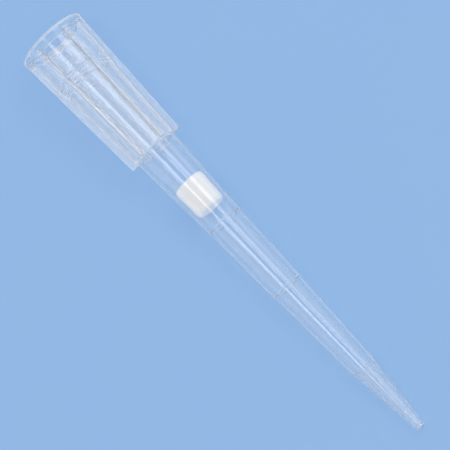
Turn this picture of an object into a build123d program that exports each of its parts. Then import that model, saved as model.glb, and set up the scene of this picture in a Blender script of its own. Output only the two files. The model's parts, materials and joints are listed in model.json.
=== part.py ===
"""Filter pipette tip: a clear moulded tip with a white porous plug, lying at rest on the ground plane.

The tip is described along its own axis, from the open mouth (0) to the point (length). Every radius is
measured from that axis. The axis lies in the XZ plane with the point towards +X, and it slopes down
towards the point, because the tip rests on its rim and on the shoulder of its point. The head has
rocked over onto one rib, as it does on a level bench.
"""

import os
from itertools import pairwise, product
from math import acos, atan, cos, degrees, hypot, radians, sin

from build123d import *

# ---- driving dimensions, in millimetres -------------------------------------------------------------

length = 54.0  # mouth to point, along the axis

# head: a ring round the mouth, then ribs along a slimmer hub and core
head_length = 15.5  # mouth to the lower ends of the ribs
mouth_radius = 3.75  # outside, at the rim
head_end_radius = 3.20  # over the ribs, at their lower ends
ring_length = 0.7
core_end_radius = 2.50

# hub: between the ring and the core, stepped where its wall turns in to the land
hub_steps = (4.67, 5.48, 5.92)  # distances of the steps from the mouth
hub_step = 0.055  # drop in radius at each of them

# ribs
rib_count = 6
rib_tip_width = 0.42
rib_root_width = 0.56
rib_inset = 0.03  # how far the rib tips stay inside the line from the rim to their lower ends
rib_bury = 0.20  # how far each rib runs into the ring, the hub and the core

# barrel: two graduation steps, then the drawn point
barrel_top_radius = 2.33
first_mark_at = 25.7
first_mark_radius = 1.965
second_mark_at = 34.75
second_mark_radius = 1.715
mark_step = 0.085  # drop in radius at each graduation step
point_at = 45.9  # shoulder where the barrel turns into the point
point_shoulder_radius = 1.28
point_step = 0.07
point_end_radius = 0.47

# socket and bore
rim_wall = 0.55
lead_in_length = 0.9  # cone that guides the pipette's nose in
hub_wall = 0.36
throat_at = 4.28  # where the bore starts to narrow to the land
land_at = 4.93
land_length = 3.6
land_radius = 2.45  # parallel land that seals on the pipette's nose
core_wall = 0.42  # round the land's upper end
barrel_wall = 0.40
point_shoulder_wall = 0.50
point_end_wall = 0.23

# plug
plug_at = 20.22  # upper face of the plug
plug_length = 3.52
plug_clearance = 0.02  # film of air between the plug and the bore
plug_edge_radius = 0.35

# small rounds
rim_edge_radius = 0.12
ring_edge_radius = 0.08  # no more than a third of the ring's step
point_edge_radius = 0.07

# ---- outlines worked out from them, as (radius, distance from the mouth) -------------------------------


def radius_on(line, at):
    """Radius of an outline at one distance from the mouth."""
    for (start_radius, start), (end_radius, end) in pairwise(line):
        if start <= at <= end and start < end:
            return start_radius + (end_radius - start_radius) * (at - start) / (end - start)
    raise ValueError(f"the outline doesn't reach {at}")


# The line from the rim to the lower ends of the ribs. The hub tapers with it.
head_line = [(mouth_radius, 0), (head_end_radius, head_length)]
core_radius = land_radius + core_wall
core_at = hub_steps[-1]


def hub_radius(at, steps_below):
    """Radius of the hub's outside at one distance from the mouth, above some of its steps."""
    return core_radius + radius_on(head_line, at) - radius_on(head_line, core_at) + steps_below * hub_step


hub_line = [(hub_radius(ring_length, len(hub_steps)), ring_length)]
for index, at in enumerate(hub_steps):
    steps_below = len(hub_steps) - index
    hub_line += [(hub_radius(at, steps_below), at), (hub_radius(at, steps_below - 1), at)]

ring_radius = radius_on(head_line, ring_length)
ring_round = min(ring_edge_radius, (ring_radius - hub_line[0][0]) / 3)

wall_line = [
    (mouth_radius, 0),
    (ring_radius, ring_length),
    *hub_line,
    (core_end_radius, head_length),
    (barrel_top_radius, head_length),
    (first_mark_radius, first_mark_at),
    (first_mark_radius - mark_step, first_mark_at),
    (second_mark_radius, second_mark_at),
    (second_mark_radius - mark_step, second_mark_at),
    (point_shoulder_radius, point_at),
    (point_shoulder_radius - point_step, point_at),
    (point_end_radius, length),
]

bore_line = [
    (mouth_radius - rim_wall, 0),
    *[(hub_radius(at, len(hub_steps)) - hub_wall, at) for at in (lead_in_length, throat_at)],
    (land_radius, land_at),
    (land_radius, land_at + land_length),
    (barrel_top_radius - barrel_wall, head_length),
    (first_mark_radius - barrel_wall, first_mark_at),
    (point_shoulder_radius - point_shoulder_wall, point_at),
    (point_end_radius - point_end_wall, length),
]

plug_end = plug_at + plug_length
plug_line = [
    (radius_on(bore_line, plug_at) - plug_clearance, plug_at),
    *[(radius - plug_clearance, at) for radius, at in bore_line if plug_at < at < plug_end],
    (radius_on(bore_line, plug_end) - plug_clearance, plug_end),
]

# ---- how it rests --------------------------------------------------------------------------------------

# Straight down lies midway between two ribs until the tip rocks over onto one of them.
first_rib_angle = 180 / rib_count
rib_tip_radius = head_end_radius - rib_inset
rib_corner_radius = hypot(rib_tip_radius, rib_tip_width / 2)
rib_corner_angle = radians(first_rib_angle) - atan(rib_tip_width / 2 / rib_tip_radius)

# It rests on whichever edge of the head and edge of the point stand out furthest between them.
head_edges = [*wall_line[:2], *hub_line, (rib_corner_radius * cos(rib_corner_angle), head_length)]
point_edges = [(point_shoulder_radius, point_at), (point_end_radius, length)]
between = (head_length + point_at) / 2
contacts = max(product(head_edges, point_edges), key=lambda pair: radius_on(pair, between))
(head_contact_radius, head_contact_at), (point_contact_radius, point_contact_at) = contacts
slope = atan((head_contact_radius - point_contact_radius) / (point_contact_at - head_contact_at))
mouth_height = point_contact_at * sin(slope) + point_contact_radius * cos(slope)

# It has rocked over until the corner of one rib's lower end meets the ground as well.
ground_radius = (mouth_height - head_length * sin(slope)) / cos(slope)
roll = acos(min(1, ground_radius / rib_corner_radius)) - rib_corner_angle

rearmost = -mouth_radius * sin(slope)
foremost = length * cos(slope) + point_end_radius * sin(slope)
mouth_centre = (-(rearmost + foremost) / 2, 0, mouth_height)

upwards = (sin(slope), 0, cos(slope))
along = (cos(slope), 0, -sin(slope))
tip_axis = Axis(mouth_centre, along)

# In the section plane X is the radius and Y the distance from the mouth.
section = Plane(origin=mouth_centre, x_dir=upwards, z_dir=(0, 1, 0))
# The crossing plane lies at the mouth, square to the axis.
crossing = Plane(origin=mouth_centre, x_dir=upwards, z_dir=along)

# ---- the moulded tip -----------------------------------------------------------------------------------

with BuildPart() as tip_body:
    with BuildSketch(section):
        with BuildLine():
            FilletPolyline(
                (0, 0),
                *wall_line,
                (0, length),
                radius=[
                    0,
                    rim_edge_radius,
                    ring_round,
                    ring_round,
                    *[0] * (len(wall_line) - 4),
                    point_edge_radius,
                    0,
                ],
                close=True,
            )
        make_face()
    revolve(axis=tip_axis)

    for rib in range(rib_count):
        rib_angle = first_rib_angle + degrees(roll) + rib * 360 / rib_count
        rib_plane = crossing.moved(Rotation(0, 0, rib_angle))
        for at, root in (
            (ring_length - rib_bury, hub_line[0][0] - rib_bury),
            (head_length, core_end_radius - rib_bury),
        ):
            tip = radius_on(head_line, at) - rib_inset
            with BuildSketch(rib_plane.offset(at)):
                with BuildLine():
                    Polyline(
                        (root, -rib_root_width / 2),
                        (tip, -rib_tip_width / 2),
                        (tip, rib_tip_width / 2),
                        (root, rib_root_width / 2),
                        close=True,
                    )
                make_face()
        loft()

    with BuildSketch(section):
        with BuildLine():
            Polyline((0, 0), *bore_line, (0, length), close=True)
        make_face()
    revolve(axis=tip_axis, mode=Mode.SUBTRACT)

# ---- the filter plug -----------------------------------------------------------------------------------

with BuildPart() as filter_plug:
    with BuildSketch(section):
        with BuildLine():
            FilletPolyline(
                (0, plug_at),
                *plug_line,
                (0, plug_end),
                radius=[0, plug_edge_radius, *[0] * (len(plug_line) - 2), plug_edge_radius, 0],
                close=True,
            )
        make_face()
    revolve(axis=tip_axis)

# ---- labels and files ----------------------------------------------------------------------------------

os.makedirs("parts", exist_ok=True)
tip_body.part.label = "tip_body"
export_step(tip_body.part, "parts/tip_body.step")
filter_plug.part.label = "filter_plug"
export_step(filter_plug.part, "parts/filter_plug.step")

print(f"the axis slopes {degrees(slope):.2f} degrees and the ribs are turned {degrees(roll):.2f} degrees")
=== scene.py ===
"""Looks of the filter pipette tip: clear moulding, porous plug, pale floor, soft lamps and camera.

Both pieces are shaped in the tip's own frame, in millimetres, with the axis along X and the mouth at the
origin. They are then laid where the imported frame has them, in metres.
"""

from __future__ import annotations

import json
import logging
from collections.abc import Callable, Sequence
from dataclasses import dataclass
from enum import Enum
from itertools import pairwise
from math import cos, hypot, inf, pi, radians, sin, tau
from typing import Any

import bmesh
import bpy
from mathutils import Matrix, Vector


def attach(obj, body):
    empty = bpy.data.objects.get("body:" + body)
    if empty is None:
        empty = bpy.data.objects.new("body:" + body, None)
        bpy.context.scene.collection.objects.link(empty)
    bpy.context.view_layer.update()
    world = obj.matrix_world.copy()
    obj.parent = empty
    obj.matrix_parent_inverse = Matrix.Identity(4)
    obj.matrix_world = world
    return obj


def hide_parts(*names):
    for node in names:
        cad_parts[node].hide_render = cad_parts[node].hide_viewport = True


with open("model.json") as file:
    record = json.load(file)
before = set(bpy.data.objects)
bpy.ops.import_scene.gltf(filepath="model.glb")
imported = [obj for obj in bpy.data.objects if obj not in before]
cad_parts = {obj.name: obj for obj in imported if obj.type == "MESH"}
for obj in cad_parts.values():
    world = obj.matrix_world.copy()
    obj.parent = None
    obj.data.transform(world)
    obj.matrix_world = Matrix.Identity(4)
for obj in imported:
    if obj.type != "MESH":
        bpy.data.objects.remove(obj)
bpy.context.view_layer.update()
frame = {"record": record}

log = logging.getLogger("pipette_tip")

MM = 0.001  # metres in a millimetre
TINY = 1e-4  # millimetres within which two points are one


# ---- outlines -----------------------------------------------------------------------------------------


@dataclass(frozen=True)
class Corner:
    """A corner of a turned outline.

    Attributes:
        at: Distance from the mouth along the axis.
        radius: Distance from the axis.
        ease: How far along both its sides the corner is rounded.
        frosted: Whether its rounding takes the frosted finish, whose whiter haze is a painted highlight that
            shows as a pale line.
        segments: Straight pieces that the rounding is made of.
    """

    at: float
    radius: float
    ease: float = 0.0
    frosted: bool = False
    segments: int = 4

    def covers(self, at: float, radius: float) -> bool:
        """Says whether a place is on this corner's rounding."""
        return hypot(at - self.at, radius - self.radius) < self.ease


def near(first: float, second: float) -> bool:
    """Says whether two lengths are the same."""
    return abs(first - second) < TINY


def radius_on(line: Sequence[tuple[float, float]], at: float) -> float:
    """Reads an outline of (distance, radius) points.

    Args:
        line: The outline's points, in order along the axis.
        at: Distance from the mouth.

    Returns:
        The outline's radius there.
    """
    for (start, start_radius), (end, end_radius) in pairwise(line):
        if start <= at <= end and start < end:
            return start_radius + (end_radius - start_radius) * (at - start) / (end - start)
    raise ValueError(f"the outline doesn't reach {at}")


@dataclass(frozen=True)
class Rounds:
    """How far each corner of the outlines is rounded along both its sides, in millimetres.

    Attributes:
        foot: The corner at the lower side of a step.
        throat: The bore's corners at both ends of the throat.
        land_end: The bore's corner below the parallel land.
        bend: The bore's corners where its taper changes.
        plug_segments: Straight pieces that each rounding of the plug is made of.
    """

    rim: float = 0.12
    ring: float = 0.2
    hub_step: float = 0.04
    foot: float = 0.03
    head_end: float = 0.07
    mark: float = 0.045
    shoulder: float = 0.04
    outlet: float = 0.07

    bore_rim: float = 0.10
    lead_in: float = 0.08
    throat: float = 0.15
    land_end: float = 0.5
    bend: float = 0.8
    bore_end: float = 0.04

    plug: float = 0.35
    plug_segments: int = 8


@dataclass(frozen=True)
class TipSizes:
    """Sizes of the tip, in millimetres along and away from its axis."""

    length: float = 54.0
    rounds: Rounds = Rounds()

    # head: a ring round the mouth, then ribs along a slimmer hub and core
    head_length: float = 15.5
    mouth_radius: float = 3.75
    head_end_radius: float = 3.20
    ring_length: float = 0.7
    core_end_radius: float = 2.50
    # The frosted edge below the rim is a painted highlight, made with whiter haze.
    rim_edge: float = 0.3  # length of the frosted edge below the rim
    haze_at: float = 1.7  # where the clear top of the hub ends and the head's haze starts

    # hub: stepped where its wall turns in to the land
    hub_steps: tuple[float, ...] = (4.67, 5.48, 5.92)
    hub_step: float = 0.055  # drop in radius at each of them
    hub_step_length: float = 0.05  # distance over which it drops

    # ribs
    rib_count: int = 6
    rib_tip_width: float = 0.42
    rib_root_width: float = 0.56
    rib_inset: float = 0.03  # how far the rib tips stay inside the line from the rim to their lower ends
    rib_bury: float = 0.20  # how far each rib runs into the ring, the hub and the core
    rib_turn: float = radians(-3.22)  # how far the tip has rocked over onto one rib

    # barrel: two graduation steps, then the drawn point
    barrel_top_radius: float = 2.33
    first_mark_at: float = 25.7
    first_mark_radius: float = 1.965
    second_mark_at: float = 34.75
    second_mark_radius: float = 1.715
    mark_step: float = 0.085  # drop in radius at each graduation step
    point_at: float = 45.9
    point_shoulder_radius: float = 1.28
    point_step: float = 0.07
    point_end_radius: float = 0.47

    # socket and bore
    rim_wall: float = 0.55
    lead_in_length: float = 0.9
    hub_wall: float = 0.36
    throat_at: float = 4.28
    land_at: float = 4.93
    land_length: float = 3.6
    land_radius: float = 2.45
    core_wall: float = 0.42
    barrel_wall: float = 0.40
    point_shoulder_wall: float = 0.50
    point_end_wall: float = 0.23

    # plug
    plug_at: float = 20.22  # upper face of the plug
    plug_length: float = 3.52
    plug_clearance: float = 0.02  # film of air between the plug and the bore

    @property
    def head_line(self) -> list[tuple[float, float]]:
        """Line from the rim to the lower ends of the ribs."""
        return [(0.0, self.mouth_radius), (self.head_length, self.head_end_radius)]

    def hub_radius(self, at: float, steps_below: int) -> float:
        """Gives the radius of the hub's outside.

        Args:
            at: Distance from the mouth.
            steps_below: How many of the hub's steps lie between there and the core.

        Returns:
            The radius there.
        """
        taper = radius_on(self.head_line, at) - radius_on(self.head_line, self.hub_steps[-1])
        return self.land_radius + self.core_wall + taper + steps_below * self.hub_step

    def hub(self) -> list[Corner]:
        """Gives the outside of the hub.

        Returns:
            Its corners, from the ring to the core.
        """
        steps = len(self.hub_steps)
        corners = [
            Corner(self.ring_length, self.hub_radius(self.ring_length, steps), self.rounds.ring),
            Corner(self.haze_at, self.hub_radius(self.haze_at, steps)),
        ]
        for index, at in enumerate(self.hub_steps):
            above, below = (self.hub_radius(at, steps - index - passed) for passed in (0, 1))
            corners += [
                Corner(at, above, self.rounds.hub_step, frosted=True),
                Corner(at + self.hub_step_length, below, self.rounds.foot),
            ]
        return corners

    def outside(self) -> list[Corner]:
        """Gives the outside of the wall.

        Returns:
            Its corners, from the rim to the point.
        """
        rounds = self.rounds
        return [
            Corner(0.0, self.mouth_radius, rounds.rim, frosted=True),
            Corner(self.rim_edge, radius_on(self.head_line, self.rim_edge)),
            Corner(self.ring_length, radius_on(self.head_line, self.ring_length), rounds.ring),
            *self.hub(),
            Corner(self.head_length, self.core_end_radius, rounds.head_end, frosted=True),
            Corner(self.head_length, self.barrel_top_radius, rounds.head_end, frosted=True),
            Corner(self.first_mark_at, self.first_mark_radius, rounds.mark, frosted=True),
            Corner(self.first_mark_at, self.first_mark_radius - self.mark_step, rounds.foot),
            Corner(self.second_mark_at, self.second_mark_radius, rounds.mark, frosted=True),
            Corner(self.second_mark_at, self.second_mark_radius - self.mark_step, rounds.foot),
            Corner(self.point_at, self.point_shoulder_radius, rounds.shoulder),
            Corner(self.point_at, self.point_shoulder_radius - self.point_step, rounds.foot),
            Corner(self.length, self.point_end_radius, rounds.outlet, frosted=True),
        ]

    def bore(self) -> list[Corner]:
        """Gives the inside of the wall.

        Returns:
            Its corners, from the rim to the point.
        """
        rounds = self.rounds
        lead_in_radius, throat_radius = (
            self.hub_radius(at, len(self.hub_steps)) - self.hub_wall
            for at in (self.lead_in_length, self.throat_at)
        )
        return [
            Corner(0.0, self.mouth_radius - self.rim_wall, rounds.bore_rim),
            Corner(self.lead_in_length, lead_in_radius, rounds.lead_in, frosted=True),
            Corner(self.throat_at, throat_radius, rounds.throat),
            Corner(self.land_at, self.land_radius, rounds.throat),
            Corner(self.land_at + self.land_length, self.land_radius, rounds.land_end),
            Corner(self.head_length, self.barrel_top_radius - self.barrel_wall, rounds.bend),
            Corner(self.first_mark_at, self.first_mark_radius - self.barrel_wall, rounds.bend),
            Corner(self.point_at, self.point_shoulder_radius - self.point_shoulder_wall, rounds.bend),
            Corner(self.length, self.point_end_radius - self.point_end_wall, rounds.bore_end, frosted=True),
        ]

    def plug(self) -> list[Corner]:
        """Gives the outside of the plug.

        Returns:
            Its corners, from the centre of its upper face to that of its lower.
        """
        bore = [(corner.at, corner.radius) for corner in self.bore()]
        ends = (self.plug_at, self.plug_at + self.plug_length)
        edges = [
            Corner(
                at,
                radius_on(bore, at) - self.plug_clearance,
                self.rounds.plug,
                segments=self.rounds.plug_segments,
            )
            for at in ends
        ]
        return [Corner(ends[0], 0.0), *edges, Corner(ends[1], 0.0)]


# ---- where the tip lies -------------------------------------------------------------------------------


class Lie:
    """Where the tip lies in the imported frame.

    It is read from the socket's mount, which stands at the middle of the land and looks out of the mouth.
    """

    def __init__(self, sizes: TipSizes, record: dict[str, Any]) -> None:
        """Reads the mount.

        Args:
            sizes: The tip's sizes.
            record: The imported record.
        """
        socket = next(mount for mount in record["mounts"] if mount["name"] == "socket")
        self.along = -Vector(socket["axis"]).normalized()
        self.across = Vector((0.0, 1.0, 0.0))
        self.upwards = self.along.cross(self.across).normalized()
        socket_middle = (sizes.land_at + sizes.land_length / 2) * MM
        self.mouth = Vector(socket["pos_m"]) - self.along * socket_middle
        self.middle = self.mouth + self.along * (sizes.length / 2 * MM)

    @property
    def matrix(self) -> Matrix:
        """Takes a point of the tip's own frame, in millimetres, to its place in metres."""
        turn = Matrix((self.along, self.across, self.upwards)).transposed().to_4x4()
        return Matrix.Translation(self.mouth) @ turn @ Matrix.Scale(MM, 4)


# ---- shaping by hand ----------------------------------------------------------------------------------


class Element(Enum):
    """Kinds of mesh element that can be selected."""

    VERTEX = ("VERT", "verts")
    EDGE = ("EDGE", "edges")
    FACE = ("FACE", "faces")


class Skin(Enum):
    """Places in the moulding's list of finishes."""

    BORE = 0
    BARREL = 1
    HEAD = 2
    # The frosted finish on roundings and rib edges: whiter haze as a painted highlight along the edges.
    EDGE = 3
    RIB = 4
    POINT = 5


class Workpiece:
    """A mesh that is shaped with edit-mode operators in the tip's own frame."""

    def __init__(self, name: str) -> None:
        """Takes the primitive that was added last, and goes into edit mode.

        Args:
            name: The piece's name.
        """
        self.object: bpy.types.Object = bpy.context.object
        self.object.name = name
        self.object.data.name = name
        bpy.ops.object.mode_set(mode="EDIT")
        bpy.ops.mesh.select_mode(type="VERT")
        bpy.ops.mesh.select_all(action="SELECT")

    @classmethod
    def from_point(cls, name: str) -> Workpiece:
        """Starts from a plane, collapsed to one vertex at the origin.

        Args:
            name: The piece's name.

        Returns:
            The piece, in edit mode with its vertex selected.
        """
        bpy.ops.object.select_all(action="DESELECT")
        bpy.ops.mesh.primitive_plane_add(size=1.0)
        piece = cls(name)
        bpy.ops.mesh.merge(type="CENTER")
        return piece

    @classmethod
    def from_block(cls, name: str, low: Vector, high: Vector) -> Workpiece:
        """Starts from a block.

        Args:
            name: The piece's name.
            low: The block's lowest corner.
            high: The block's highest corner.

        Returns:
            The piece, in edit mode.
        """
        bpy.ops.object.select_all(action="DESELECT")
        bpy.ops.mesh.primitive_cube_add(size=1.0, location=(low + high) / 2, scale=high - low)
        bpy.ops.object.transform_apply(location=True, rotation=True, scale=True)
        return cls(name)

    def select(self, kind: Element, chosen: Callable[[Any], bool]) -> int:
        """Selects the elements that pass a test, and nothing else.

        Args:
            kind: The kind of element.
            chosen: The test, on one element.

        Returns:
            How many passed.
        """
        mode, items = kind.value
        bpy.ops.mesh.select_mode(type=mode)
        bpy.ops.mesh.select_all(action="DESELECT")
        mesh = bmesh.from_edit_mesh(self.object.data)
        passed = [item for item in getattr(mesh, items) if chosen(item)]
        for item in passed:
            item.select_set(True)
        mesh.select_flush_mode()
        bmesh.update_edit_mesh(self.object.data)
        return len(passed)

    def draw(self, corners: Sequence[Corner], angle: float = 0.0) -> None:
        """Draws an outline as a chain of edges, by extruding its first vertex from corner to corner.

        Args:
            corners: The outline's corners.
            angle: Turn of the outline's plane about the axis, from straight up.
        """
        points = [Vector((c.at, -c.radius * sin(angle), c.radius * cos(angle))) for c in corners]
        bpy.ops.transform.translate(value=points[0])
        for start, end in pairwise(points):
            bpy.ops.mesh.extrude_region_move(TRANSFORM_OT_translate={"value": end - start})

    def join_ends(self, first: Corner, last: Corner) -> None:
        """Closes the outline with an edge.

        Args:
            first: The outline's first corner.
            last: Its last corner.
        """
        ends = [(first.at, first.radius), (last.at, last.radius)]
        self.select(Element.VERTEX, lambda v: any(self._stands_at(v, *end) for end in ends))
        bpy.ops.mesh.edge_face_add()

    def ease(self, corners: Sequence[Corner]) -> None:
        """Rounds the outline's corners as each of them asks.

        Args:
            corners: The outline's corners.
        """
        for corner in corners:
            if corner.ease > 0:
                self.select(Element.VERTEX, lambda v: self._stands_at(v, corner.at, corner.radius))
                bpy.ops.mesh.bevel(
                    offset=corner.ease, segments=corner.segments, affect="VERTICES", clamp_overlap=False
                )

    def spin(self, steps: int, angle: float) -> None:
        """Turns what is selected about the axis.

        Args:
            steps: Faces made round the turn.
            angle: The turn.
        """
        bpy.ops.mesh.spin(steps=steps, angle=angle, center=(0.0, 0.0, 0.0), axis=(1.0, 0.0, 0.0))

    def finish(self, materials: Sequence[bpy.types.Material]) -> None:
        """Gives the piece its list of finishes. All of it takes the first."""
        for material in materials:
            self.object.data.materials.append(material)

    def put_on(self, skin: Skin) -> None:
        """Gives the selected faces one of the finishes."""
        self.object.active_material_index = skin.value
        bpy.ops.object.material_slot_assign()

    def close_up(self) -> None:
        """Merges seams and poles and points the faces outwards."""
        bpy.ops.mesh.select_mode(type="VERT")
        bpy.ops.mesh.select_all(action="SELECT")
        bpy.ops.mesh.remove_doubles(threshold=TINY)
        bpy.ops.mesh.normals_make_consistent(inside=False)

    @staticmethod
    def _stands_at(vertex: bmesh.types.BMVert, at: float, radius: float) -> bool:
        """Says whether a vertex is at a corner of the outline."""
        return near(vertex.co.x, at) and near(hypot(vertex.co.y, vertex.co.z), radius)

    def modify(self, kind: str, **settings: Any) -> None:
        """Adds a modifier and applies it.

        Args:
            kind: The modifier's type.
            **settings: Its settings.
        """
        modifier = self.object.modifiers.new(kind.title(), kind)
        for name, setting in settings.items():
            setattr(modifier, name, setting)
        self.make_active()
        bpy.ops.object.modifier_apply(modifier=modifier.name)

    def make_active(self) -> None:
        """Selects this piece alone."""
        bpy.ops.object.select_all(action="DESELECT")
        self.object.select_set(True)
        bpy.context.view_layer.objects.active = self.object

    def lay_down(self, lie: Lie, smooth_below: float) -> bpy.types.Object:
        """Shades the piece, lays it where the tip lies and applies its place to its mesh.

        Args:
            lie: Where the tip lies.
            smooth_below: Edges flatter than this angle are shaded smooth.

        Returns:
            The finished piece.
        """
        self.make_active()
        bpy.ops.object.shade_smooth_by_angle(angle=smooth_below)
        self.modify("WEIGHTED_NORMAL", keep_sharp=True, weight=100)
        self.object.matrix_world = lie.matrix
        bpy.ops.object.transform_apply(location=True, rotation=True, scale=True)
        return self.object


# ---- the two pieces -----------------------------------------------------------------------------------


@dataclass
class Moulding:
    """The clear moulding: a turned wall with ribs joined to its head.

    Attributes:
        finishes: Its materials, in the order of Skin.
        around: Faces round the wall.
        rib_edge: Width of the bevels along the ribs' edges, in millimetres.
        facing_out: How squarely a rib's face has to look outwards to be its tip. 1 is exactly.
        crease: Edges flatter than this angle are shaded smooth.
    """

    sizes: TipSizes
    lie: Lie
    finishes: tuple[bpy.types.Material, ...]
    around: int = 288
    rib_edge: float = 0.045
    rib_edge_segments: int = 3
    facing_out: float = 0.9
    crease: float = radians(28)

    def build(self) -> bpy.types.Object:
        """Makes the moulding.

        Returns:
            The finished piece.
        """
        wall = self._turned_wall()
        for rib in range(self.sizes.rib_count):
            self._join_rib(wall, rib)
        return wall.lay_down(self.lie, self.crease)

    def _turned_wall(self) -> Workpiece:
        """Turns the section of the wall about the axis.

        Returns:
            The wall, with its finishes on.
        """
        outline = self.sizes.outside() + self.sizes.bore()[::-1]
        wall = Workpiece.from_point("tip_moulding")
        wall.draw(outline)
        wall.join_ends(outline[0], outline[-1])
        wall.ease(outline)
        bpy.ops.mesh.select_all(action="SELECT")
        wall.spin(self.around, tau)
        wall.close_up()
        wall.finish(self.finishes)
        self._dress(wall)
        bpy.ops.object.mode_set(mode="OBJECT")
        return wall

    def _dress(self, wall: Workpiece) -> None:
        """Puts the finishes on the wall. Each one covers what an earlier one put there.

        Args:
            wall: The wall, in edit mode.
        """
        sizes = self.sizes
        stretches = (
            (sizes.head_length, inf, Skin.BARREL),
            (-inf, sizes.head_length, Skin.HEAD),
            (sizes.point_at, inf, Skin.POINT),
            (-inf, sizes.haze_at, Skin.BARREL),
        )
        for start, end, skin in stretches:
            wall.select(
                Element.FACE, lambda f: self._is_outside(f) and start < f.calc_center_median().x < end
            )
            wall.put_on(skin)
        # Frosted roundings and the rim's outer edge take whiter haze: a painted highlight along the edges.
        wall.select(Element.FACE, self._is_frosted_highlight)
        wall.put_on(Skin.EDGE)

    @staticmethod
    def _is_outside(face: bmesh.types.BMFace) -> bool:
        """Says whether a face of the wall looks away from the axis."""
        middle = face.calc_center_median()
        return face.normal.dot(Vector((0.0, middle.y, middle.z))) > 0

    def _is_frosted_highlight(self, face: bmesh.types.BMFace) -> bool:
        """Says whether a face is frosted, with whiter haze that paints a highlight along the edge.

        Args:
            face: A face of the wall.

        Returns:
            Whether it is on a frosted corner or on the rim's outer edge.
        """
        middle = face.calc_center_median()
        radius = hypot(middle.y, middle.z)
        corners = self.sizes.outside() + self.sizes.bore()
        return (middle.x < self.sizes.rim_edge and self._is_outside(face)) or any(
            corner.frosted and corner.covers(middle.x, radius) for corner in corners
        )

    def _join_rib(self, wall: Workpiece, number: int) -> None:
        """Shapes one rib as a tapered bar and joins it to the wall.

        Args:
            wall: The wall.
            number: The rib's place in the ring.
        """
        sizes = self.sizes
        start, end = sizes.ring_length - sizes.rib_bury, sizes.head_length
        start_root = sizes.hub()[0].radius - sizes.rib_bury
        end_root = sizes.core_end_radius - sizes.rib_bury
        start_tip, end_tip = (radius_on(sizes.head_line, at) - sizes.rib_inset for at in (start, end))
        bar = Workpiece.from_block(
            f"rib_{number}",
            Vector((start, -sizes.rib_root_width / 2, start_root)),
            Vector((end, sizes.rib_root_width / 2, start_tip)),
        )
        bar.select(Element.VERTEX, lambda v: near(v.co.z, start_tip))
        bpy.ops.transform.resize(value=(1.0, sizes.rib_tip_width / sizes.rib_root_width, 1.0))
        for level, drop in ((start_tip, start_tip - end_tip), (start_root, start_root - end_root)):
            bar.select(Element.VERTEX, lambda v: near(v.co.x, end) and near(v.co.z, level))
            bpy.ops.transform.translate(value=(0.0, 0.0, -drop))
        bar.finish(self.finishes)
        bpy.ops.mesh.select_all(action="SELECT")
        bar.put_on(Skin.RIB)
        bar.select(Element.EDGE, lambda e: max(v.co.z for v in e.verts) > sizes.core_end_radius)
        # The bevels along the ribs' edges take the frosted finish, a painted highlight.
        bpy.ops.mesh.bevel(
            offset=self.rib_edge, segments=self.rib_edge_segments, affect="EDGES", material=Skin.EDGE.value
        )
        bar.select(Element.FACE, lambda f: f.normal.z > self.facing_out)
        bar.put_on(Skin.HEAD)
        bpy.ops.object.mode_set(mode="OBJECT")
        turn = sizes.rib_turn + (number + 0.5) * tau / sizes.rib_count
        bar.object.matrix_world = Matrix.Rotation(turn, 4, "X")
        wall.modify("BOOLEAN", operation="UNION", solver="EXACT", object=bar.object)
        bpy.data.objects.remove(bar.object)


@dataclass
class Plug:
    """The sintered plug, turned about the axis.

    Attributes:
        around: Faces round the plug.
        long_edge: Edges of its outline longer than this, in millimetres, are cut up.
        cuts: Cuts made in each of them.
        crease: Edges flatter than this angle are shaded smooth.
    """

    sizes: TipSizes
    lie: Lie
    around: int = 160
    long_edge: float = 1.0
    cuts: int = 30
    crease: float = radians(60)

    def build(self) -> bpy.types.Object:
        """Makes the plug.

        Returns:
            The finished piece.
        """
        outline = self.sizes.plug()
        plug = Workpiece.from_point("porous_plug")
        plug.draw(outline)
        plug.ease(outline)
        plug.select(Element.EDGE, lambda e: e.calc_length() > self.long_edge)
        bpy.ops.mesh.subdivide(number_cuts=self.cuts)
        bpy.ops.mesh.select_all(action="SELECT")
        plug.spin(self.around, tau)
        plug.close_up()
        bpy.ops.object.mode_set(mode="OBJECT")
        return plug.lay_down(self.lie, self.crease)


# ---- shader building ----------------------------------------------------------------------------------


class Value:
    """A shader number. Arithmetic on it adds Math nodes."""

    def __init__(self, bench: ShaderBench, socket: bpy.types.NodeSocket) -> None:
        """Wraps an output socket of the bench's tree."""
        self.bench = bench
        self.socket = socket

    def _with(self, operation: str, first: Any, second: Any) -> Value:
        """Adds a Math node on two numbers or values."""
        node = self.bench.add("ShaderNodeMath", {"operation": operation}, {0: first, 1: second})
        return Value(self.bench, node.outputs[0])

    def __add__(self, other: Any) -> Value:
        """Adds."""
        return self._with("ADD", self, other)

    __radd__ = __add__

    def __mul__(self, other: Any) -> Value:
        """Multiplies."""
        return self._with("MULTIPLY", self, other)

    __rmul__ = __mul__


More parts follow.
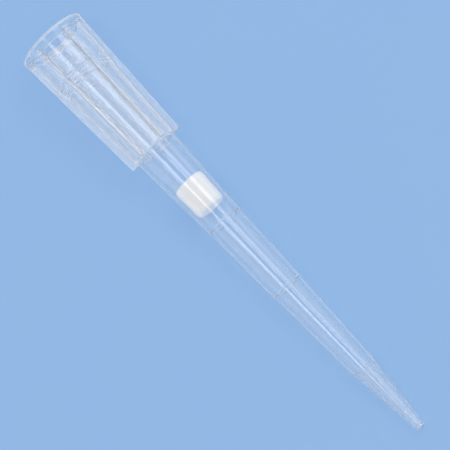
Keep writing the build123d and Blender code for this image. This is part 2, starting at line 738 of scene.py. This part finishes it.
class ShaderBench:
    """A node tree under construction."""

    def __init__(self, tree: bpy.types.NodeTree) -> None:
        """Empties the tree."""
        self.tree = tree
        tree.nodes.clear()

    def add(
        self, kind: str, settings: dict[str, Any] | None = None, inputs: dict[Any, Any] | None = None
    ) -> bpy.types.Node:
        """Adds a node.

        Args:
            kind: The node's type.
            settings: Its properties, set before its sockets. "stops" are a ramp's (position, colour) pairs.
            inputs: A number, colour, value or socket for each input, by name or place.

        Returns:
            The node.
        """
        node = self.tree.nodes.new(kind)
        for name, setting in (settings or {}).items():
            if name == "stops":
                self._set_stops(node.color_ramp, setting)
            else:
                setattr(node, name, setting)
        for name, given in (inputs or {}).items():
            given = given.socket if isinstance(given, Value) else given
            if isinstance(given, bpy.types.NodeSocket):
                self.tree.links.new(given, node.inputs[name])
            else:
                node.inputs[name].default_value = given
        return node

    def value(
        self,
        kind: str,
        settings: dict[str, Any] | None = None,
        inputs: dict[Any, Any] | None = None,
        output: int | str = 0,
    ) -> Value:
        """Adds a node and wraps one of its outputs."""
        return Value(self, self.add(kind, settings, inputs).outputs[output])

    def maximum(self, first: Value, second: Value) -> Value:
        """Takes the larger of two values."""
        return self.value("ShaderNodeMath", {"operation": "MAXIMUM"}, {0: first, 1: second})

    def mix(self, share: Value, first: Sequence[float], second: Sequence[float]) -> bpy.types.NodeSocket:
        """Mixes two colours by a value."""
        given = {"Factor": share, 6: first, 7: second}
        return self.add("ShaderNodeMix", {"data_type": "RGBA"}, given).outputs[2]

    @staticmethod
    def _set_stops(ramp: bpy.types.ColorRamp, stops: Sequence[tuple[float, Sequence[float]]]) -> None:
        """Puts a ramp's stops in place.

        Args:
            ramp: The ramp, with its first two stops.
            stops: The position and colour of each stop.
        """
        for index, (position, colour) in enumerate(stops):
            stop = ramp.elements[index] if index < 2 else ramp.elements.new(position)
            stop.position = position
            stop.color = colour


Colour = tuple[float, float, float, float]


@dataclass(frozen=True)
class ClearPlastic:
    """Natural polypropylene, clear with some haze.

    Attributes:
        clarity: Share of the surface that acts as clear plastic. The rest scatters light as haze.
        roughness: Mean roughness of the surface.
        bloom: Paleness of the surface where it is seen edge on.
        coat: Strength of the soft gloss over the haze.
        coat_roughness: How soft that gloss is.
        colour: Tint of the plastic.
        cloud_colour: Its tint where it is cloudiest.
        refraction: Its refractive index.
        bloom_roughness: How far the edge-on paleness reaches over the surface.
        cloud_scale: Fineness of the clouds, as patches in a metre.
        cloud_detail: Levels of detail in them.
        roughness_spread: Change in roughness from the clearest place to the cloudiest.
    """

    name: str
    clarity: float
    roughness: float
    bloom: float
    coat: float = 0.0
    coat_roughness: float = 0.0
    colour: Colour = (0.997, 0.998, 1.0, 1.0)
    cloud_colour: Colour = (0.988, 0.992, 0.996, 1.0)
    refraction: float = 1.49
    bloom_roughness: float = 0.5
    cloud_scale: float = 900.0
    cloud_detail: float = 3.0
    roughness_spread: float = 0.06

    def make(self) -> bpy.types.Material:
        """Makes the material.

        Returns:
            The material.
        """
        material = bpy.data.materials.new(self.name)
        material.use_nodes = True
        bench = ShaderBench(material.node_tree)
        place = bench.add("ShaderNodeTexCoord").outputs["Object"]
        cloud = bench.value(
            "ShaderNodeTexNoise",
            None,
            {"Vector": place, "Scale": self.cloud_scale, "Detail": self.cloud_detail},
            "Fac",
        )
        tint = bench.mix(cloud, self.colour, self.cloud_colour)
        shader = bench.add(
            "ShaderNodeBsdfPrincipled",
            None,
            {
                "Base Color": tint,
                "Roughness": cloud * self.roughness_spread + (self.roughness - self.roughness_spread / 2),
                "Transmission Weight": self.clarity,
                "IOR": self.refraction,
                "Sheen Weight": self.bloom,
                "Sheen Roughness": self.bloom_roughness,
                "Coat Weight": self.coat,
                "Coat Roughness": self.coat_roughness,
            },
        )
        bench.add("ShaderNodeOutputMaterial", None, {"Surface": shader.outputs[0]})
        return material


BORE_PLASTIC = ClearPlastic("clear_bore", clarity=1.0, roughness=0.06, bloom=0.0)
BARREL_PLASTIC = ClearPlastic("clear_barrel", clarity=0.985, roughness=0.07, bloom=1.0)
HEAD_PLASTIC = ClearPlastic(
    "hazy_head", clarity=0.86, roughness=0.14, bloom=1.0, coat=0.9, coat_roughness=0.22
)
# Whiter haze for the frosted roundings and rib edges: a painted highlight along the edges.
EDGE_HIGHLIGHT_PLASTIC = ClearPlastic("frosted_edge", clarity=0.7, roughness=0.3, bloom=1.0)
RIB_PLASTIC = ClearPlastic("hazy_rib", clarity=0.91, roughness=0.15, bloom=1.0, coat=1.0, coat_roughness=0.4)
POINT_PLASTIC = ClearPlastic("hazy_point", clarity=0.93, roughness=0.15, bloom=1.0)

# The moulding's plastics, in the order of Skin.
MOULDING_PLASTICS = (BORE_PLASTIC, BARREL_PLASTIC, HEAD_PLASTIC, EDGE_HIGHLIGHT_PLASTIC, RIB_PLASTIC, POINT_PLASTIC)


@dataclass(frozen=True)
class PorousPlastic:
    """Sintered white polyethylene.

    Attributes:
        pore_shade_colour: Colour between the grains, darker than them: painted shade in the pores.
        depth: How far light spreads below the surface, in metres.
        grain_scale: Fineness of the grains, as grains in a metre.
        grain_relief: Strength of the grains' bumps.
        grain_height: Height of the bumps, in metres.
    """

    name: str = "porous_polyethylene"
    colour: Colour = (0.93, 0.93, 0.925, 1.0)
    pore_shade_colour: Colour = (0.88, 0.882, 0.885, 1.0)
    roughness: float = 0.9
    depth: float = 0.0012
    grain_scale: float = 7000.0
    grain_relief: float = 0.4
    grain_height: float = 0.00003

    def make(self) -> bpy.types.Material:
        """Makes the material.

        Returns:
            The material.
        """
        material = bpy.data.materials.new(self.name)
        material.use_nodes = True
        bench = ShaderBench(material.node_tree)
        place = bench.add("ShaderNodeTexCoord").outputs["Object"]
        grains = bench.value(
            "ShaderNodeTexVoronoi", None, {"Vector": place, "Scale": self.grain_scale}, "Distance"
        )
        # Darker towards the edges of each grain: painted shade in the pores.
        grains_and_pore_shade = bench.mix(grains, self.colour, self.pore_shade_colour)
        bump = bench.add(
            "ShaderNodeBump",
            None,
            {"Strength": self.grain_relief, "Distance": self.grain_height, "Height": grains},
        )
        shader = bench.add(
            "ShaderNodeBsdfPrincipled",
            None,
            {
                "Base Color": grains_and_pore_shade,
                "Roughness": self.roughness,
                "Subsurface Weight": 1.0,
                "Subsurface Radius": (1.0, 1.0, 1.0),
                "Subsurface Scale": self.depth,
                "Normal": bump.outputs[0],
            },
        )
        bench.add("ShaderNodeOutputMaterial", None, {"Surface": shader.outputs[0]})
        return material


@dataclass(frozen=True)
class FloorPaint:
    """The pale floor, a little brighter to the eye than its shadows would leave it.

    Attributes:
        mottle: Colour of its faint patches.
        glow: Share of the colour that shows without the lamps, to the camera and through clear plastic.
        cloud_scale: Fineness of the patches, as patches in a metre.
        cloud_detail: Levels of detail in them.
        gloss: Strength of its reflections.
    """

    name: str = "pale_floor"
    colour: Colour = (0.30, 0.50, 0.82, 1.0)
    mottle: Colour = (0.32, 0.52, 0.83, 1.0)
    glow: float = 0.55
    cloud_scale: float = 60.0
    cloud_detail: float = 4.0
    roughness: float = 0.8
    gloss: float = 0.2

    def make(self) -> bpy.types.Material:
        """Makes the material.

        Returns:
            The material.
        """
        material = bpy.data.materials.new(self.name)
        material.use_nodes = True
        bench = ShaderBench(material.node_tree)
        place = bench.add("ShaderNodeTexCoord").outputs["Object"]
        cloud = bench.value(
            "ShaderNodeTexNoise",
            None,
            {"Vector": place, "Scale": self.cloud_scale, "Detail": self.cloud_detail},
            "Fac",
        )
        paint = bench.mix(cloud, self.colour, self.mottle)
        shader = bench.add(
            "ShaderNodeBsdfPrincipled",
            None,
            {"Base Color": paint, "Roughness": self.roughness, "Specular IOR Level": self.gloss},
        )
        glow = bench.add("ShaderNodeEmission", None, {"Color": paint, "Strength": 1.0})
        ray = bench.add("ShaderNodeLightPath")
        names = ("Is Camera Ray", "Is Glossy Ray", "Is Transmission Ray")
        camera_ray, glossy_ray, transmission_ray = (Value(bench, ray.outputs[name]) for name in names)
        seen = bench.maximum(bench.maximum(camera_ray, glossy_ray), transmission_ray)
        mixed = bench.add(
            "ShaderNodeMixShader", None, {0: seen * self.glow, 1: shader.outputs[0], 2: glow.outputs[0]}
        )
        bench.add("ShaderNodeOutputMaterial", None, {"Surface": mixed.outputs[0]})
        return material


# ---- studio -------------------------------------------------------------------------------------------


@dataclass(frozen=True)
class Softbox:
    """A rectangular lamp, placed by its direction from the middle of the tip.

    Attributes:
        side: Angle from straight above, towards +Y.
        along: Angle from straight above, towards +X, which is where the point is.
        length: Its size along X, in metres.
        width: Its size across that, in metres.
        brightness: How bright its face is. A brightness of 1 shows white.
        distance: How far it hangs from the middle of the tip, in metres.
    """

    name: str
    side: float
    along: float
    length: float
    width: float
    brightness: float
    distance: float = 0.45


@dataclass
class Studio:
    """Floor, lamps, surroundings and camera.

    Attributes:
        surroundings: Tint of the surroundings.
        overhead: How bright they are overhead.
        overhead_from: Height in them, from 0 at the horizon to 1, from which they count as overhead.
        horizon: How bright they are at the horizon.
        camera_lean: Angle of the view from straight above the axis, towards the point.
        camera_swing: Angle of the view from straight above the axis, towards +Y.
        camera_roll: Angle between the view's width and the tip's axis.
        field_width: Width that the camera sees at the tip, in metres.
        aim_right: How far the view's centre is right of the tip's middle, in metres.
        aim_up: How far it is above it.
        sensor_width: Width of the camera's sensor, in millimetres.
        nearest: Distance from which the camera sees, in metres.
    """

    lie: Lie
    softboxes: tuple[Softbox, ...] = (
        Softbox(
            "far_softbox", side=radians(35.5), along=radians(-4), length=0.24, width=0.16, brightness=2.6
        ),
        Softbox(
            "near_softbox", side=radians(-13), along=radians(-4), length=0.24, width=0.09, brightness=3.1
        ),
    )
    surroundings: Colour = (0.97, 0.98, 1.0, 1.0)
    overhead: float = 0.56
    overhead_from: float = 0.6
    horizon: float = 1.45
    ray_bounces: int = 32
    camera_distance: float = 0.5
    camera_lean: float = radians(11.5)
    camera_swing: float = radians(3.4)
    camera_roll: float = radians(46.33)
    field_width: float = 0.04446
    aim_right: float = -0.939 * MM
    aim_up: float = 0.622 * MM
    sensor_width: float = 36.0
    nearest: float = 0.01
    floor_size: float = 6.0

    def build(self) -> None:
        """Makes the studio."""
        self._floor()
        for softbox in self.softboxes:
            self._hang(softbox)
        self._surround()
        self._camera()
        cycles = bpy.context.scene.cycles
        cycles.max_bounces = cycles.transmission_bounces = cycles.glossy_bounces = self.ray_bounces
        cycles.blur_glossy = 0.0

    def _floor(self) -> None:
        """Lays the floor."""
        bpy.ops.object.select_all(action="DESELECT")
        bpy.ops.mesh.primitive_plane_add(size=self.floor_size)
        floor = bpy.context.object
        floor.name = "floor"
        floor.data.materials.append(FloorPaint().make())

    def _hang(self, softbox: Softbox) -> None:
        """Hangs a softbox facing the tip.

        Args:
            softbox: The softbox.
        """
        level = cos(softbox.along)
        towards = Vector((sin(softbox.along), level * sin(softbox.side), level * cos(softbox.side)))
        lamp = bpy.data.lights.new(softbox.name, "AREA")
        lamp.shape = "RECTANGLE"
        lamp.size = softbox.length
        lamp.size_y = softbox.width
        lamp.energy = softbox.brightness * pi * softbox.length * softbox.width
        hung = bpy.data.objects.new(softbox.name, lamp)
        bpy.context.scene.collection.objects.link(hung)
        lengthways = (Vector((1, 0, 0)) - towards * towards.x).normalized()
        turn = Matrix((lengthways, towards.cross(lengthways), towards)).transposed().to_4x4()
        hung.matrix_world = Matrix.Translation(self.lie.middle + towards * softbox.distance) @ turn

    def _surround(self) -> None:
        """Lights the surroundings."""
        world = bpy.data.worlds.new("surroundings")
        bpy.context.scene.world = world
        world.use_nodes = True
        bench = ShaderBench(world.node_tree)
        direction = bench.add("ShaderNodeTexCoord").outputs["Generated"]
        height = bench.add("ShaderNodeSeparateXYZ", None, {0: direction}).outputs["Z"]
        pale, paler = (
            [level * channel for channel in self.surroundings[:3]] + [1.0]
            for level in (self.overhead, self.horizon)
        )
        stops = [(0.0, paler), (self.overhead_from, pale)]
        shade = bench.add("ShaderNodeValToRGB", {"stops": stops}, {"Fac": height}).outputs["Color"]
        light = bench.add("ShaderNodeBackground", None, {"Color": shade, "Strength": 1.0})
        bench.add("ShaderNodeOutputWorld", None, {"Surface": light.outputs[0]})

    def _camera(self) -> None:
        """Sets the camera up, looking down on the tip from a little beyond its point."""
        lie = self.lie
        back = (
            lie.upwards * (cos(self.camera_lean) * cos(self.camera_swing))
            + lie.along * sin(self.camera_lean)
            + lie.across * (cos(self.camera_lean) * sin(self.camera_swing))
        ).normalized()
        tipwards = (lie.along - back * lie.along.dot(back)).normalized()
        sideways = back.cross(tipwards)
        right = tipwards * cos(self.camera_roll) + sideways * sin(self.camera_roll)
        up = back.cross(right)
        lens = bpy.data.cameras.new("camera")
        lens.sensor_width = self.sensor_width
        lens.lens = lens.sensor_width * self.camera_distance / self.field_width
        lens.clip_start = self.nearest
        camera = bpy.data.objects.new("camera", lens)
        bpy.context.scene.collection.objects.link(camera)
        aim = lie.middle + right * self.aim_right + up * self.aim_up
        turn = Matrix((right, up, back)).transposed().to_4x4()
        camera.matrix_world = Matrix.Translation(aim + back * self.camera_distance) @ turn
        bpy.context.scene.camera = camera


# ---- everything in order ------------------------------------------------------------------------------


def main() -> None:
    """Builds the pieces, dresses them and sets up the studio."""
    logging.basicConfig(level=logging.INFO, format="%(name)s: %(message)s")
    sizes = TipSizes()
    lie = Lie(sizes, frame["record"])

    moulding = Moulding(sizes, lie, tuple(plastic.make() for plastic in MOULDING_PLASTICS)).build()
    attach(moulding, "root")
    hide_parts("tip_body")
    log.info("%s has %d faces", moulding.name, len(moulding.data.polygons))

    plug = Plug(sizes, lie).build()
    plug.data.materials.append(PorousPlastic().make())
    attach(plug, "root")
    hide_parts("filter_plug")
    log.info("%s has %d faces", plug.name, len(plug.data.polygons))

    Studio(lie).build()
    bpy.context.scene.view_settings.view_transform = "Standard"


if __name__ == "__main__":
    main()
